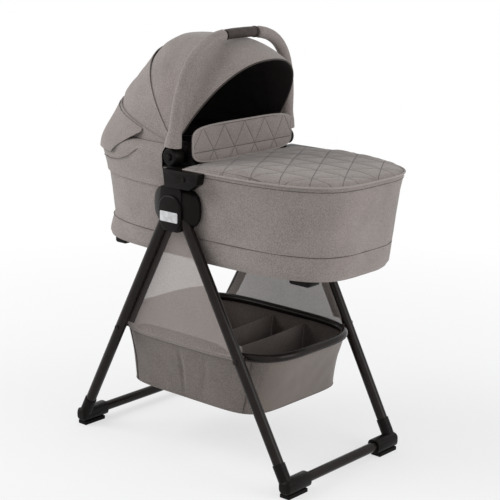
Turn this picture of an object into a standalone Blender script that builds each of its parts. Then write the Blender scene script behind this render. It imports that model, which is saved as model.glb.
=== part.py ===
"""Bassinet on an A-frame stand. Metres, +Z up, +X towards the foot end."""
import math

import bmesh
import bpy
from mathutils import Vector

GAP = 0.0003

# Stand: two pairs of legs that meet in a hub on each side
HUB_X = -0.0196
LEG_TOP_Z = 0.640
LEG_TOP_REACH = 0.020
LEG_TOP_Y = 0.2145
FOOT_REACH = 0.353
FOOT_Y = 0.203
LEG_RADIUS = 0.0135
BAR_Z = 0.028
BAR_RADIUS = 0.0125
BAR_HALF = 0.155
PAD_HEIGHT = 0.0097
FITTING_INNER_Y = 0.133
FITTING_OUTER_Y = 0.219
HUB_INNER_Y = 0.1993
HUB_OUTER_Y = 0.2300
HUB_HALF_WIDTH = 0.034
HUB_BOTTOM_Z = 0.590
HUB_TOP_Z = 0.700
HUB_SHOULDER_Z = 0.648
HUB_SHOULDER = (
    (0.1994, 0.072, 0.0490),
    (0.2030, 0.076, 0.0515),
    (0.2100, 0.075, 0.0512),
    (0.2170, 0.064, 0.0500),
    (0.2230, 0.048, 0.0480),
    (0.2270, 0.036, 0.0460),
)
CAP_CENTRE_Z = 0.635
CAP_WIDTH = 0.073
CAP_HEIGHT = 0.088
CAP_THICK = 0.006
BADGE_WIDTH = 0.058
BADGE_HEIGHT = 0.025

# Basket under the rail loop
RAIL_Z = 0.304
RAIL_HALF_X = 0.270
RAIL_HALF_Y = 0.189
RAIL_POWER = 3.9
RAIL_RADIUS = 0.010
BAG_BOTTOM_Z = 0.155
BAG_BOTTOM_HALF_X = 0.222
BAG_BOTTOM_HALF_Y = 0.180
BAG_BOTTOM_POWER = 6.0
BAG_WALL = 0.004
DIVIDERS = {"front": 0.0604, "rear": -0.0496}
DIVIDER_TOP_Z = 0.285

# Tub
TUB_X = 0.0062
TUB_FLOOR_Z = 0.516
RIM_Z = 0.738
TUB_WALL = 0.009
TUB_POWER = 3.6
TUB_POINTS = 48
# height, half length and half width of the outer wall
TUB_PROFILE = (
    (TUB_FLOOR_Z, 0.378, 0.1780),
    (TUB_FLOOR_Z + 0.010, 0.385, 0.1825),
    (0.580, 0.390, 0.1845),
    (0.700, 0.4062, 0.1945),
    (RIM_Z, 0.4110, 0.2093),
)
# the head end is square at the floor and rounder from this height up
HEAD_ROUND_Z = 0.575
HEAD_POWER_LOW = 3.5
HEAD_POWER = 2.65
COVER_THICK = 0.004
CROWN = 0.020
COVER_EDGE_Z = 0.748

# Handle
HANDLE_X = -0.0346
HANDLE_Z = 0.767
HANDLE_HALF = 0.205
HANDLE_RISE = 0.282
HANDLE_LEAN = 0.107
HANDLE_POWER = 3.1
HANDLE_TUBE = 0.0095
HANDLE_HUB_RADIUS = 0.021
HANDLE_BORE = 0.0083
GRIP_HALF = 0.055
GRIP_RADIUS = 0.013
SLEEVE_RADIUS = 0.0150
SLEEVE_FOOT_RADIUS = 0.0165

# Canopy: nested fans about one axis
CANOPY_X = -0.0546
CANOPY_Z = 0.790
CANOPY_POWER = 2.3
CANOPY_THICK = 0.0025
PIN_RADIUS = 0.0077
# name: half width, then (angle from +X, radius) along the fan
CANOPY = {
    "front": (0.1760, ((54, 0.2500), (67, 0.2500), (80, 0.2500), (94, 0.2500))),
    "second": (
        0.1790,
        ((91, 0.2560), (103, 0.2570), (109, 0.2650), (115, 0.2735), (123, 0.2760), (132, 0.2700)),
    ),
    "third": (
        0.1820,
        ((129, 0.2840), (143, 0.2840), (152, 0.2900), (158, 0.3050), (163, 0.3080), (168, 0.3100)),
    ),
    "rear": (0.1850, ((165, 0.3150), (172, 0.3200), (180, 0.3370))),
}
BRACKET_INNER_Y = 0.163
BRACKET_OUTER_Y = 0.1725

# Wind flap over the front edge of the foot cover
FLAP_HALF = 0.180
FLAP_TOP_Z = 0.838
FLAP_RADIUS = 0.004

COLOURS = {
    "frame": (0.020, 0.017, 0.015, 1),
    "plastic": (0.015, 0.014, 0.014, 1),
    "badge": (0.62, 0.62, 0.64, 1),
    "rubber": (0.012, 0.012, 0.012, 1),
    "melange": (0.30, 0.26, 0.24, 1),
    "mesh": (0.42, 0.38, 0.35, 1),
    "lining": (0.03, 0.027, 0.027, 1),
    "grip": (0.09, 0.072, 0.068, 1),
    "mattress": (0.55, 0.52, 0.50, 1),
}

for old in list(bpy.data.objects):
    bpy.data.objects.remove(old)


def material_for(name, kind):
    material = bpy.data.materials.new("mat_" + name)
    material.use_nodes = True
    shader = material.node_tree.nodes["Principled BSDF"]
    shader.inputs["Base Color"].default_value = COLOURS[kind]
    shader.inputs["Roughness"].default_value = 0.5
    return material


def add(name, bm, kind, origin=(0, 0, 0)):
    """Turns a bmesh in world coordinates into an object whose origin is on its joint axis."""
    bmesh.ops.remove_doubles(bm, verts=bm.verts, dist=1e-6)
    bmesh.ops.dissolve_degenerate(bm, edges=bm.edges, dist=1e-7)
    bmesh.ops.recalc_face_normals(bm, faces=bm.faces)
    bmesh.ops.translate(bm, verts=bm.verts, vec=-Vector(origin))
    mesh = bpy.data.meshes.new(name)
    bm.to_mesh(mesh)
    bm.free()
    mesh.materials.append(material_for(name, kind))
    obj = bpy.data.objects.new(name, mesh)
    obj.location = origin
    bpy.context.collection.objects.link(obj)
    return obj


def loft(name, rings, kind, origin=(0, 0, 0)):
    """A closed body through rings of equal count, capped at both ends."""
    bm = bmesh.new()
    rows = [[bm.verts.new(point) for point in ring] for ring in rings]
    count = len(rows[0])
    for low, high in zip(rows, rows[1:]):
        for i in range(count):
            j = (i + 1) % count
            bm.faces.new((low[i], low[j], high[j], high[i]))
    bm.faces.new(rows[0][::-1])
    bm.faces.new(rows[-1])
    return add(name, bm, kind, origin)


def shell(name, outer, inner, kind, origin=(0, 0, 0)):
    """A closed body between two grids of the same shape."""
    bm = bmesh.new()
    out = [[bm.verts.new(point) for point in row] for row in outer]
    inn = [[bm.verts.new(point) for point in row] for row in inner]
    rows, columns = len(out), len(out[0])
    for i in range(rows - 1):
        for j in range(columns - 1):
            bm.faces.new((out[i][j], out[i][j + 1], out[i + 1][j + 1], out[i + 1][j]))
            bm.faces.new((inn[i][j], inn[i + 1][j], inn[i + 1][j + 1], inn[i][j + 1]))
    for j in range(columns - 1):
        bm.faces.new((out[0][j + 1], out[0][j], inn[0][j], inn[0][j + 1]))
        bm.faces.new((out[-1][j], out[-1][j + 1], inn[-1][j + 1], inn[-1][j]))
    for i in range(rows - 1):
        bm.faces.new((out[i][0], out[i + 1][0], inn[i + 1][0], inn[i][0]))
        bm.faces.new((out[i + 1][-1], out[i][-1], inn[i][-1], inn[i + 1][-1]))
    return add(name, bm, kind, origin)


def superellipse(half_x, half_y, power, z, count=32, centre_x=0.0, head_power=None):
    """One closed ring of points at height z."""
    points = []
    for i in range(count):
        a = 2 * math.pi * i / count
        end = head_power if head_power and math.cos(a) < 0 else power
        x = half_x * math.copysign(abs(math.cos(a)) ** (2 / end), math.cos(a))
        y = half_y * math.copysign(abs(math.sin(a)) ** (2 / end), math.sin(a))
        points.append((centre_x + x, y, z))
    return points


def circle_frames(path, normal, closed=False):
    """For each point of a planar path, its position and two unit axes across it."""
    normal = Vector(normal).normalized()
    points = [Vector(point) for point in path]
    frames = []
    for i, point in enumerate(points):
        before = points[i - 1] if i or closed else point
        after = points[(i + 1) % len(points)] if i + 1 < len(points) or closed else point
        tangent = (after - before).normalized()
        frames.append((point, normal, tangent.cross(normal).normalized()))
    return frames


def ring_on(frame, radius, count):
    point, across, side = frame
    return [
        point + radius * (math.cos(a) * across + math.sin(a) * side)
        for a in (2 * math.pi * i / count for i in range(count))
    ]


def tube(name, path, radius, normal, kind, count=12, origin=(0, 0, 0)):
    rings = [ring_on(frame, radius, count) for frame in circle_frames(path, normal)]
    return loft(name, rings, kind, origin)


def hollow_tube(name, path, radii, bore, normal, kind, count=12, origin=(0, 0, 0)):
    """A sleeve: an outer surface with a radius at each point, and a bore."""
    frames = circle_frames(path, normal)
    bm = bmesh.new()
    rings = [ring_on(f, r, count) for f, r in zip(frames, radii)]
    rings += [ring_on(f, bore, count) for f in reversed(frames)]
    rows = [[bm.verts.new(point) for point in ring] for ring in rings]
    for low, high in zip(rows, rows[1:] + rows[:1]):
        for i in range(count):
            j = (i + 1) % count
            bm.faces.new((low[i], low[j], high[j], high[i]))
    return add(name, bm, kind, origin)


def prism(name, outline, low, high, kind, origin=(0, 0, 0), chamfer=0.0):
    """An outline of (x, z) points extruded along Y from low to high, its ends chamfered."""
    cx = sum(x for x, _ in outline) / len(outline)
    cz = sum(z for _, z in outline) / len(outline)

    def ring(y, inset):
        points = []
        for x, z in outline:
            away = Vector((x - cx, z - cz))
            away -= away.normalized() * inset
            points.append((cx + away.x, y, cz + away.y))
        return points

    side = math.copysign(1, high - low)
    rings = [ring(low, 0.0), ring(high, 0.0)]
    if chamfer:
        rings = [ring(low, 0.0), ring(high - side * chamfer, 0.0), ring(high, chamfer)]
    return loft(name, rings, kind, origin)


def box(name, low, high, kind, origin=(0, 0, 0)):
    outline = [(low[0], low[2]), (high[0], low[2]), (high[0], high[2]), (low[0], high[2])]
    return prism(name, outline, low[1], high[1], kind, origin)


def disc(name, x, z, radius, low, high, kind, count=20, chamfer=0.0, origin=(0, 0, 0)):
    outline = [
        (x + radius * math.cos(2 * math.pi * i / count), z + radius * math.sin(2 * math.pi * i / count))
        for i in range(count)
    ]
    return prism(name, outline, low, high, kind, origin, chamfer)


def rounded(low_x, low_z, high_x, high_z, radius, steps=3):
    """A rectangle of (x, z) points with rounded corners."""
    points = []
    corners = (
        (high_x - radius, high_z - radius, 0),
        (low_x + radius, high_z - radius, 90),
        (low_x + radius, low_z + radius, 180),
        (high_x - radius, low_z + radius, 270),
    )
    for x, z, start in corners:
        for i in range(steps + 1):
            a = math.radians(start + 90 * i / steps)
            points.append((x + radius * math.cos(a), z + radius * math.sin(a)))
    return points


def combine(obj, operation, others):
    """One boolean after another; the other bodies are removed afterwards."""
    for other in others:
        other.hide_render = True
        other.display_type = "WIRE"
        modifier = obj.modifiers.new("combine", "BOOLEAN")
        modifier.operation = operation
        modifier.solver = "EXACT"
        modifier.object = other
        bpy.context.view_layer.objects.active = obj
        bpy.ops.object.modifier_apply(modifier=modifier.name)
        bpy.data.objects.remove(other)
    return obj


def leg_point(end, side, along):
    """A point on a leg's axis: 0 at its top, 1 where it meets the floor bar's axis."""
    top = Vector((HUB_X + end * LEG_TOP_REACH, side * LEG_TOP_Y, LEG_TOP_Z))
    foot = Vector((HUB_X + end * FOOT_REACH, side * FOOT_Y, BAR_Z))
    return top + (foot - top) * along


def tub_half(z):
    """Half length and half width of the tub's outer wall at a height."""
    for (z0, x0, y0), (z1, x1, y1) in zip(TUB_PROFILE, TUB_PROFILE[1:]):
        if z <= z1:
            t = (z - z0) / (z1 - z0)
            return x0 + (x1 - x0) * t, y0 + (y1 - y0) * t
    return TUB_PROFILE[-1][1:]


def head_power(z):
    along = min(1.0, (z - TUB_FLOOR_Z) / (HEAD_ROUND_Z - TUB_FLOOR_Z))
    return HEAD_POWER_LOW + (HEAD_POWER - HEAD_POWER_LOW) * along


def tub_ring(half_x, half_y, z):
    return superellipse(half_x, half_y, TUB_POWER, z, TUB_POINTS, TUB_X, head_power(z))


SIDES = {"near": -1, "far": 1}
ENDS = {"foot": 1, "head": -1}
LEG_LENGTH = (leg_point(1, 1, 1) - leg_point(1, 1, 0)).length
RIVET_X = LEG_TOP_REACH + (LEG_TOP_Z - RAIL_Z) / (LEG_TOP_Z - BAR_Z) * (FOOT_REACH - LEG_TOP_REACH)
RIVET_RAIL_Y = RAIL_HALF_Y * (1 - (RIVET_X / RAIL_HALF_X) ** RAIL_POWER) ** (1 / RAIL_POWER)
RIVET_LEG_Y = abs(leg_point(1, 1, (LEG_TOP_Z - RAIL_Z) / (LEG_TOP_Z - BAR_Z)).y)

# Legs with their rivet bores, floor bars, corner fittings and pads
for end_name, end in ENDS.items():
    bar_x = HUB_X + end * FOOT_REACH
    tube(
        f"floor_bar_{end_name}",
        [(bar_x, -BAR_HALF, BAR_Z), (bar_x, BAR_HALF, BAR_Z)],
        BAR_RADIUS,
        (0, 0, 1),
        "frame",
    )
    for side_name, side in SIDES.items():
        key = f"{end_name}_{side_name}"
        rivet_x = HUB_X + end * RIVET_X
        path = [leg_point(end, side, -0.012 / LEG_LENGTH), leg_point(end, side, 1 - 0.022 / LEG_LENGTH)]
        leg = tube(f"leg_{key}", path, LEG_RADIUS, (0, 1, 0), "frame")
        bore = disc("bore", rivet_x, RAIL_Z, 0.0043, side * 0.17, side * 0.24, "frame", count=12)
        combine(leg, "DIFFERENCE", [bore])
        rivet = disc(
            f"rivet_{key}",
            rivet_x,
            RAIL_Z,
            0.004,
            side * (RIVET_RAIL_Y + RAIL_RADIUS + 0.0019),
            side * (RIVET_LEG_Y + LEG_RADIUS + GAP + 0.0005),
            "badge",
            count=12,
        )
        head = disc(
            "head",
            rivet_x,
            RAIL_Z,
            0.0065,
            side * (RIVET_LEG_Y + LEG_RADIUS + GAP),
            side * (RIVET_LEG_Y + LEG_RADIUS + 0.0028),
            "badge",
            count=12,
            chamfer=0.001,
        )
        combine(rivet, "UNION", [head])
        block = rounded(bar_x - 0.0175, PAD_HEIGHT + GAP, bar_x + 0.0175, 0.0455, 0.012)
        fitting = prism(
            f"corner_fitting_{key}",
            block,
            side * FITTING_INNER_Y,
            side * FITTING_OUTER_Y,
            "plastic",
            chamfer=0.006,
        )
        neck = [leg_point(end, side, 1), leg_point(end, side, 1 - 0.056 / LEG_LENGTH)]
        combine(fitting, "UNION", [tube("neck", neck, 0.0157, (0, 1, 0), "plastic", count=16)])
        pocket = [leg_point(end, side, 1 - 0.0217 / LEG_LENGTH), leg_point(end, side, 1 - 0.09 / LEG_LENGTH)]
        hole = [(bar_x, side * 0.10, BAR_Z), (bar_x, side * (BAR_HALF + GAP), BAR_Z)]
        cutters = [
            tube("pocket", pocket, LEG_RADIUS + GAP, (0, 1, 0), "plastic"),
            tube("hole", hole, BAR_RADIUS + GAP, (0, 0, 1), "plastic"),
        ]
        combine(fitting, "DIFFERENCE", cutters)
        box(
            f"foot_pad_{key}",
            (bar_x - 0.0145, side * (FITTING_INNER_Y + 0.010), 0.0),
            (bar_x + 0.0145, side * (FITTING_OUTER_Y - 0.006), PAD_HEIGHT),
            "rubber",
        )

# Hubs, their caps and blank badges
for side_name, side in SIDES.items():
    outline = rounded(
        HUB_X - HUB_HALF_WIDTH, HUB_BOTTOM_Z, HUB_X + HUB_HALF_WIDTH, HUB_TOP_Z, 0.013
    )
    housing = prism(
        f"hub_housing_{side_name}", outline, side * HUB_INNER_Y, side * HUB_OUTER_Y, "plastic"
    )
    shoulder = []
    for y, half_x, half_z in HUB_SHOULDER:
        ring = superellipse(half_x, half_z, 2.8, 0.0, 32)
        shoulder.append([(HUB_X + x, side * y, HUB_SHOULDER_Z + z) for x, z, _ in ring])
    combine(housing, "UNION", [loft("shoulder", shoulder, "plastic")])
    cutters = []
    for end in ENDS.values():
        path = [leg_point(end, side, -0.0123 / LEG_LENGTH), leg_point(end, side, 0.25)]
        cutters.append(tube("pocket", path, LEG_RADIUS + GAP, (0, 1, 0), "plastic"))
    socket = box(
        "socket",
        (HUB_X - 0.0183, side * 0.2072, 0.672),
        (HUB_X + 0.0183, side * 0.2218, HUB_TOP_Z + 0.01),
        "plastic",
    )
    combine(housing, "DIFFERENCE", cutters + [socket])
    ring = superellipse(CAP_WIDTH / 2, CAP_HEIGHT / 2, 2.6, 0.0, 28)
    outline = [(HUB_X + x, CAP_CENTRE_Z + z) for x, z, _ in ring]
    cap_face = HUB_OUTER_Y + GAP + CAP_THICK
    prism(
        f"hub_cap_{side_name}",
        outline,
        side * (HUB_OUTER_Y + GAP),
        side * cap_face,
        "plastic",
        chamfer=0.003,
    )
    badge = rounded(
        HUB_X - BADGE_WIDTH / 2,
        CAP_CENTRE_Z - 0.008 - BADGE_HEIGHT / 2,
        HUB_X + BADGE_WIDTH / 2,
        CAP_CENTRE_Z - 0.008 + BADGE_HEIGHT / 2,
        0.003,
    )
    prism(
        f"hub_badge_{side_name}", badge, side * (cap_face + 0.0002), side * (cap_face + 0.0014), "badge"
    )

# Rail loop
path = superellipse(RAIL_HALF_X, RAIL_HALF_Y, RAIL_POWER, RAIL_Z, 40, HUB_X)
bm = bmesh.new()
rows = [[bm.verts.new(p) for p in ring_on(f, RAIL_RADIUS, 8)] for f in circle_frames(path, (0, 0, 1), True)]
for low, high in zip(rows, rows[1:] + rows[:1]):
    for i in range(8):
        j = (i + 1) % 8
        bm.faces.new((low[i], low[j], high[j], high[i]))
add("basket_rail", bm, "frame")

# Basket bag, its base board and dividers
BAG_TOP_Z = RAIL_Z - RAIL_RADIUS - GAP
BAG_FLOOR_Z = BAG_BOTTOM_Z + BAG_WALL
loft(
    "basket_bag",
    [
        superellipse(BAG_BOTTOM_HALF_X, BAG_BOTTOM_HALF_Y, BAG_BOTTOM_POWER, BAG_BOTTOM_Z, 32, HUB_X),
        superellipse(RAIL_HALF_X + 0.002, RAIL_HALF_Y + 0.002, RAIL_POWER, BAG_TOP_Z, 32, HUB_X),
        superellipse(RAIL_HALF_X - 0.002, RAIL_HALF_Y - 0.002, RAIL_POWER, BAG_TOP_Z, 32, HUB_X),
        superellipse(
            BAG_BOTTOM_HALF_X - 0.004, BAG_BOTTOM_HALF_Y - 0.004, BAG_BOTTOM_POWER, BAG_FLOOR_Z, 32, HUB_X
        ),
    ],
    "melange",
)
board = superellipse(BAG_BOTTOM_HALF_X - 0.012, BAG_BOTTOM_HALF_Y - 0.012, 5.0, 0.0, 32, HUB_X)
BOARD_TOP_Z = BAG_FLOOR_Z + GAP + 0.004
loft(
    "basket_base_board",
    [[(x, y, z) for x, y, _ in board] for z in (BAG_FLOOR_Z + GAP, BOARD_TOP_Z)],
    "lining",
)


def bag_half(x, z):
    """Half width inside the bag's faceted wall, at a place along it and a height."""
    t = (z - BAG_FLOOR_Z) / (BAG_TOP_Z - BAG_FLOOR_Z)
    halves = []
    for half_x, half_y, power in (
        (BAG_BOTTOM_HALF_X - 0.004, BAG_BOTTOM_HALF_Y - 0.004, BAG_BOTTOM_POWER),
        (RAIL_HALF_X - 0.002, RAIL_HALF_Y - 0.002, RAIL_POWER),
    ):
        ring = superellipse(half_x, half_y, power, 0.0, 32, HUB_X)[:17][::-1]
        for (x0, y0, _), (x1, y1, _) in zip(ring, ring[1:]):
            if x0 <= x <= x1:
                halves.append(y0 + (y1 - y0) * (x - x0) / (x1 - x0))
    return halves[0] + (halves[1] - halves[0]) * t


for name, x in DIVIDERS.items():
    rings = []
    for z in (BOARD_TOP_Z + GAP, DIVIDER_TOP_Z):
        low, high = (bag_half(x + step, z) - 0.0012 for step in (-0.0015, 0.0015))
        rings.append([
            (x - 0.0015, -low, z),
            (x + 0.0015, -high, z),
            (x + 0.0015, high, z),
            (x - 0.0015, low, z),
        ])
    loft(f"basket_divider_{name}", rings, "lining")

# Mesh panels between each pair of legs, on the inner side of the tubes
for side_name, side in SIDES.items():
    rings = []
    for inset in (0.0138, 0.0158):
        ring = []
        for end, z in ((-1, 0.3152), (1, 0.3152), (1, 0.588), (-1, 0.588)):
            point = leg_point(end, side, (LEG_TOP_Z - z) / (LEG_TOP_Z - BAR_Z))
            ring.append((point.x, point.y - side * inset, z))
        rings.append(ring)
    loft(f"side_mesh_{side_name}", rings, "mesh")

# Tub, mattress and the feet under it
inner = [
    tub_ring(x - TUB_WALL, y - TUB_WALL, z)
    for z, x, y in ((RIM_Z, *tub_half(RIM_Z)), (0.700, *tub_half(0.700)), (0.530, *tub_half(0.530)))
]
outer = [tub_ring(x, y, z) for z, x, y in TUB_PROFILE]
loft("tub_shell", outer + inner, "melange")
mattress = []
for z, inset in ((0.5303, 0.012), (0.536, 0.006), (0.562, 0.006), (0.572, 0.016), (0.577, 0.050)):
    half_x, half_y = tub_half(max(z, 0.530))
    mattress.append(tub_ring(half_x - TUB_WALL - inset, half_y - TUB_WALL - inset, z))
loft("mattress", mattress, "mattress")
for end_name, x, half in (("head", -0.2960, 0.020), ("foot", 0.3020, 0.031)):
    for side_name, side in SIDES.items():
        foot = rounded(x - half, 0.497, x + half, TUB_FLOOR_Z - GAP, 0.006)
        prism(
            f"tub_foot_{end_name}_{side_name}", foot, side * 0.096, side * 0.136, "plastic", chamfer=0.003
        )


def half_ring(direction, centre_x, half_x, half_y, power, z, start_x=0.0):
    """Half of a superellipse from the near side round to the far side, on the full ring's facets."""
    points = []
    for i in range(TUB_POINTS // 2 + 1):
        a = 2 * math.pi * i / TUB_POINTS
        y = -half_y * math.copysign(abs(math.cos(a)) ** (2 / power), math.cos(a))
        points.append((half_x * abs(math.sin(a)) ** (2 / power), y, z))
    for end in (0, -1):
        (x0, y0, _), (x1, y1, _) = points[end], points[1 if end == 0 else -2]
        points[end] = (start_x, y0 + (y1 - y0) * (start_x - x0) / (x1 - x0), z)
    return [(centre_x + direction * x, y, z) for x, y, z in points]


# Foot cover: a skirt outside the tub and a crowned top over its rim
cover_rows = {"outer": [], "inner": []}
for layer, out in (("outer", COVER_THICK + GAP), ("inner", GAP)):
    rows = cover_rows[layer]
    for z in (TUB_FLOOR_Z, 0.526, 0.580, 0.700, RIM_Z):
        half_x, half_y = tub_half(z)
        height = z + (out if z == RIM_Z else 0)
        rows.append(half_ring(1, TUB_X, half_x + out, half_y + out, TUB_POWER, height))
    half_x, half_y = tub_half(RIM_Z)
    for scale, height in ((0.97, 0.45), (0.88, 0.75), (0.66, 0.95), (0.36, 1.0), (0.08, 1.0)):
        ring = half_ring(1, TUB_X, (half_x + out) * scale, (half_y + out) * scale, TUB_POWER, 0.0)
        row = []
        for x, y, _ in ring:
            along = min(1.0, (x - TUB_X) / 0.16)
            edge = (COVER_EDGE_Z - RIM_Z - COVER_THICK - GAP) * height
            row.append((x, y, RIM_Z + out + edge + (CROWN * height - edge) * along))
        rows.append(row)
shell("foot_cover", cover_rows["outer"], cover_rows["inner"], "melange")

# Adapters that drop into the hubs, each with a release button
for side_name, side in SIDES.items():
    outline = [
        (-0.032, HUB_TOP_Z + GAP),
        (0.048, HUB_TOP_Z + GAP),
        (0.072, 0.716),
        (0.078, 0.742),
        (-0.038, 0.742),
    ]
    adapter = prism(f"adapter_{side_name}", outline, side * 0.2139, side * 0.2380, "plastic")
    tongue = box(
        "tongue",
        (HUB_X - 0.012, side * 0.2139, 0.676),
        (HUB_X + 0.0180, side * 0.2215, HUB_TOP_Z + 0.012),
        "plastic",
    )
    combine(adapter, "UNION", [tongue])
    combine(
        adapter,
        "DIFFERENCE",
        [disc("bore", 0.030, 0.724, 0.0063, side * 0.2310, side * 0.2500, "plastic", count=16)],
    )
    disc(
        f"release_button_{side_name}",
        0.030,
        0.724,
        0.0060,
        side * 0.2340,
        side * 0.2405,
        "badge",
        count=16,
        chamfer=0.001,
        origin=(0.030, side * 0.2340, 0.724),
    )

# Brackets on the rim that carry the canopy and the handle
for side_name, side in SIDES.items():
    low_z = RIM_Z + GAP
    rings = []
    for x in (-0.0610, -0.0010):
        profile = (
            (BRACKET_INNER_Y, low_z),
            (0.2090, low_z),
            (0.2090, low_z + 0.0045),
            (BRACKET_OUTER_Y, low_z + 0.0045),
            (BRACKET_OUTER_Y, 0.800),
            (BRACKET_INNER_Y, 0.800),
        )
        rings.append([(x, side * y, z) for y, z in profile])
    bracket = loft(f"side_bracket_{side_name}", rings, "plastic")
    pins = [
        disc("pin", x, z, radius, side * (BRACKET_OUTER_Y - 0.002), side * end_y, "plastic")
        for x, z, radius, end_y in (
            (CANOPY_X, CANOPY_Z, PIN_RADIUS, 0.1866),
            (HANDLE_X, HANDLE_Z, HANDLE_BORE - GAP, 0.2050),
        )
    ]
    combine(bracket, "UNION", pins)

# Canopy fans
for name, (half, stations) in CANOPY.items():
    grids = []
    for inset in (0.0, CANOPY_THICK):
        grid = []
        for angle, radius in stations:
            c, s = math.cos(math.radians(angle)), math.sin(math.radians(angle))
            reach = radius - inset
            start = math.asin(((PIN_RADIUS + GAP) / reach) ** (CANOPY_POWER / 2))
            row = []
            for i in range(19):
                a = start + (math.pi - 2 * start) * i / 18
                r = reach * math.sin(a) ** (2 / CANOPY_POWER)
                y = -(half - inset) * math.copysign(abs(math.cos(a)) ** (2 / CANOPY_POWER), math.cos(a))
                row.append((CANOPY_X + r * c, y, CANOPY_Z + r * s))
            grid.append(row)
        grids.append(grid)
    shell(f"canopy_{name}", grids[0], grids[1], "melange", origin=(CANOPY_X, 0, CANOPY_Z))

# Skirt from the canopy's rear fan down over the head end of the tub
SKIRT_START_X = -0.066
skirt_rows = {"outer": [], "inner": []}
for layer, out in (("outer", 0.0038), ("inner", 0.0008)):
    rows = skirt_rows[layer]
    for z, extra in ((0.685, 0.0), (0.700, 0.0), (RIM_Z, 0.0), (0.762, 0.001)):
        half_x, half_y = tub_half(min(z, RIM_Z))
        half_x, half_y = half_x + out + extra, half_y + out + extra
        rows.append(half_ring(-1, TUB_X, half_x, half_y, head_power(z), z, TUB_X - SKIRT_START_X))
    for blend, z in ((0.45, 0.780), (1.0, CANOPY_Z - GAP)):
        base = rows[3]
        top = half_ring(
            -1, CANOPY_X, 0.3330 + out, 0.1820 + out, CANOPY_POWER, z, CANOPY_X - SKIRT_START_X
        )
        rows.append([
            (b[0] + (t[0] - b[0]) * blend, b[1] + (t[1] - b[1]) * blend, z) for b, t in zip(base, top)
        ])
shell("canopy_skirt", skirt_rows["outer"], skirt_rows["inner"], "melange")

# Handle: a ring hub on each pin, the arch, two padded sleeves and a grip
handle_origin = (HANDLE_X, 0, HANDLE_Z)


def handle_point(a):
    rise = HANDLE_RISE * math.sin(a) ** (2 / HANDLE_POWER)
    across = -HANDLE_HALF * math.copysign(abs(math.cos(a)) ** (2 / HANDLE_POWER), math.cos(a))
    return Vector((HANDLE_X + HANDLE_LEAN * rise, across, HANDLE_Z + rise))


def handle_angle_at_rise(rise):
    return math.asin((rise / HANDLE_RISE) ** (HANDLE_POWER / 2))


def handle_angle_at_width(width):
    return math.acos((width / HANDLE_HALF) ** (HANDLE_POWER / 2))


def handle_path(start, stop, count):
    return [handle_point(start + (stop - start) * i / count) for i in range(count + 1)]


ARCH_NORMAL = (1, 0, -HANDLE_LEAN)
foot_angle = handle_angle_at_rise(HANDLE_HUB_RADIUS + 0.0006)
sleeve_foot = handle_angle_at_rise(0.0240)
sleeve_end = handle_angle_at_width(GRIP_HALF + 0.002)
grip_angle = handle_angle_at_width(GRIP_HALF)
sleeve_path = handle_path(sleeve_foot, sleeve_end, 10)
grip_path = handle_path(grip_angle, math.pi - grip_angle, 4)
near_half = [handle_point(foot_angle), *sleeve_path]
far_half = [Vector((p.x, -p.y, p.z)) for p in reversed(near_half)]
tube(
    "handle_tube",
    near_half + grip_path + far_half,
    HANDLE_TUBE,
    ARCH_NORMAL,
    "frame",
    origin=handle_origin,
)
hollow_tube(
    "handle_grip", grip_path, [GRIP_RADIUS] * 5, HANDLE_TUBE + GAP, ARCH_NORMAL, "grip", origin=handle_origin
)
radii = [SLEEVE_FOOT_RADIUS] * 5 + [SLEEVE_RADIUS] * 6
for side_name, side in SIDES.items():
    path = [Vector((p.x, side * abs(p.y), p.z)) for p in sleeve_path]
    hollow_tube(
        f"handle_sleeve_{side_name}",
        path,
        radii,
        HANDLE_TUBE + GAP,
        ARCH_NORMAL,
        "melange",
        origin=handle_origin,
    )
    hub = disc(
        f"handle_hub_{side_name}",
        HANDLE_X,
        HANDLE_Z,
        HANDLE_HUB_RADIUS,
        side * 0.1880,
        side * 0.2195,
        "plastic",
        count=24,
        chamfer=0.002,
        origin=handle_origin,
    )
    bore = disc(
        "bore", HANDLE_X, HANDLE_Z, HANDLE_BORE, side * 0.18, side * 0.23, "plastic", count=20
    )
    combine(hub, "DIFFERENCE", [bore])
    disc(
        f"handle_button_{side_name}",
        HANDLE_X,
        HANDLE_Z,
        HANDLE_BORE - GAP - 0.0003,
        side * 0.2105,
        side * 0.2240,
        "plastic",
        chamfer=0.0015,
        origin=(HANDLE_X, side * 0.2105, HANDLE_Z),
    )

# Wind flap: an upright pad that folds forward about its lower edge
FLAP_AXIS_Z = COVER_EDGE_Z + 0.0008 + FLAP_RADIUS
flap_rings = []
for x in (-0.0039, -0.0032, -0.0018, 0.0, 0.0018, 0.0032, 0.0039):
    inset = FLAP_RADIUS - math.sqrt(FLAP_RADIUS**2 - x**2)
    low = FLAP_AXIS_Z - FLAP_RADIUS + inset
    corner = 0.035
    ring = [(TUB_X + x, -FLAP_HALF + inset, low), (TUB_X + x, FLAP_HALF - inset, low)]
    for centre, start in ((FLAP_HALF - corner, 0), (-FLAP_HALF + corner, 90)):
        for i in range(5):
            a = math.radians(start + 22.5 * i)
            ring.append((
                TUB_X + x,
                centre + (corner - inset) * math.cos(a),
                FLAP_TOP_Z - corner + (corner - inset) * math.sin(a),
            ))
    flap_rings.append(ring)
loft("wind_flap", flap_rings, "melange", origin=(TUB_X, 0, FLAP_AXIS_Z))
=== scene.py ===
"""A bassinet in taupe melange cloth on a black A-frame stand with a cloth basket."""
import math

import bpy
from mathutils import Matrix, Vector, noise


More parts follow.
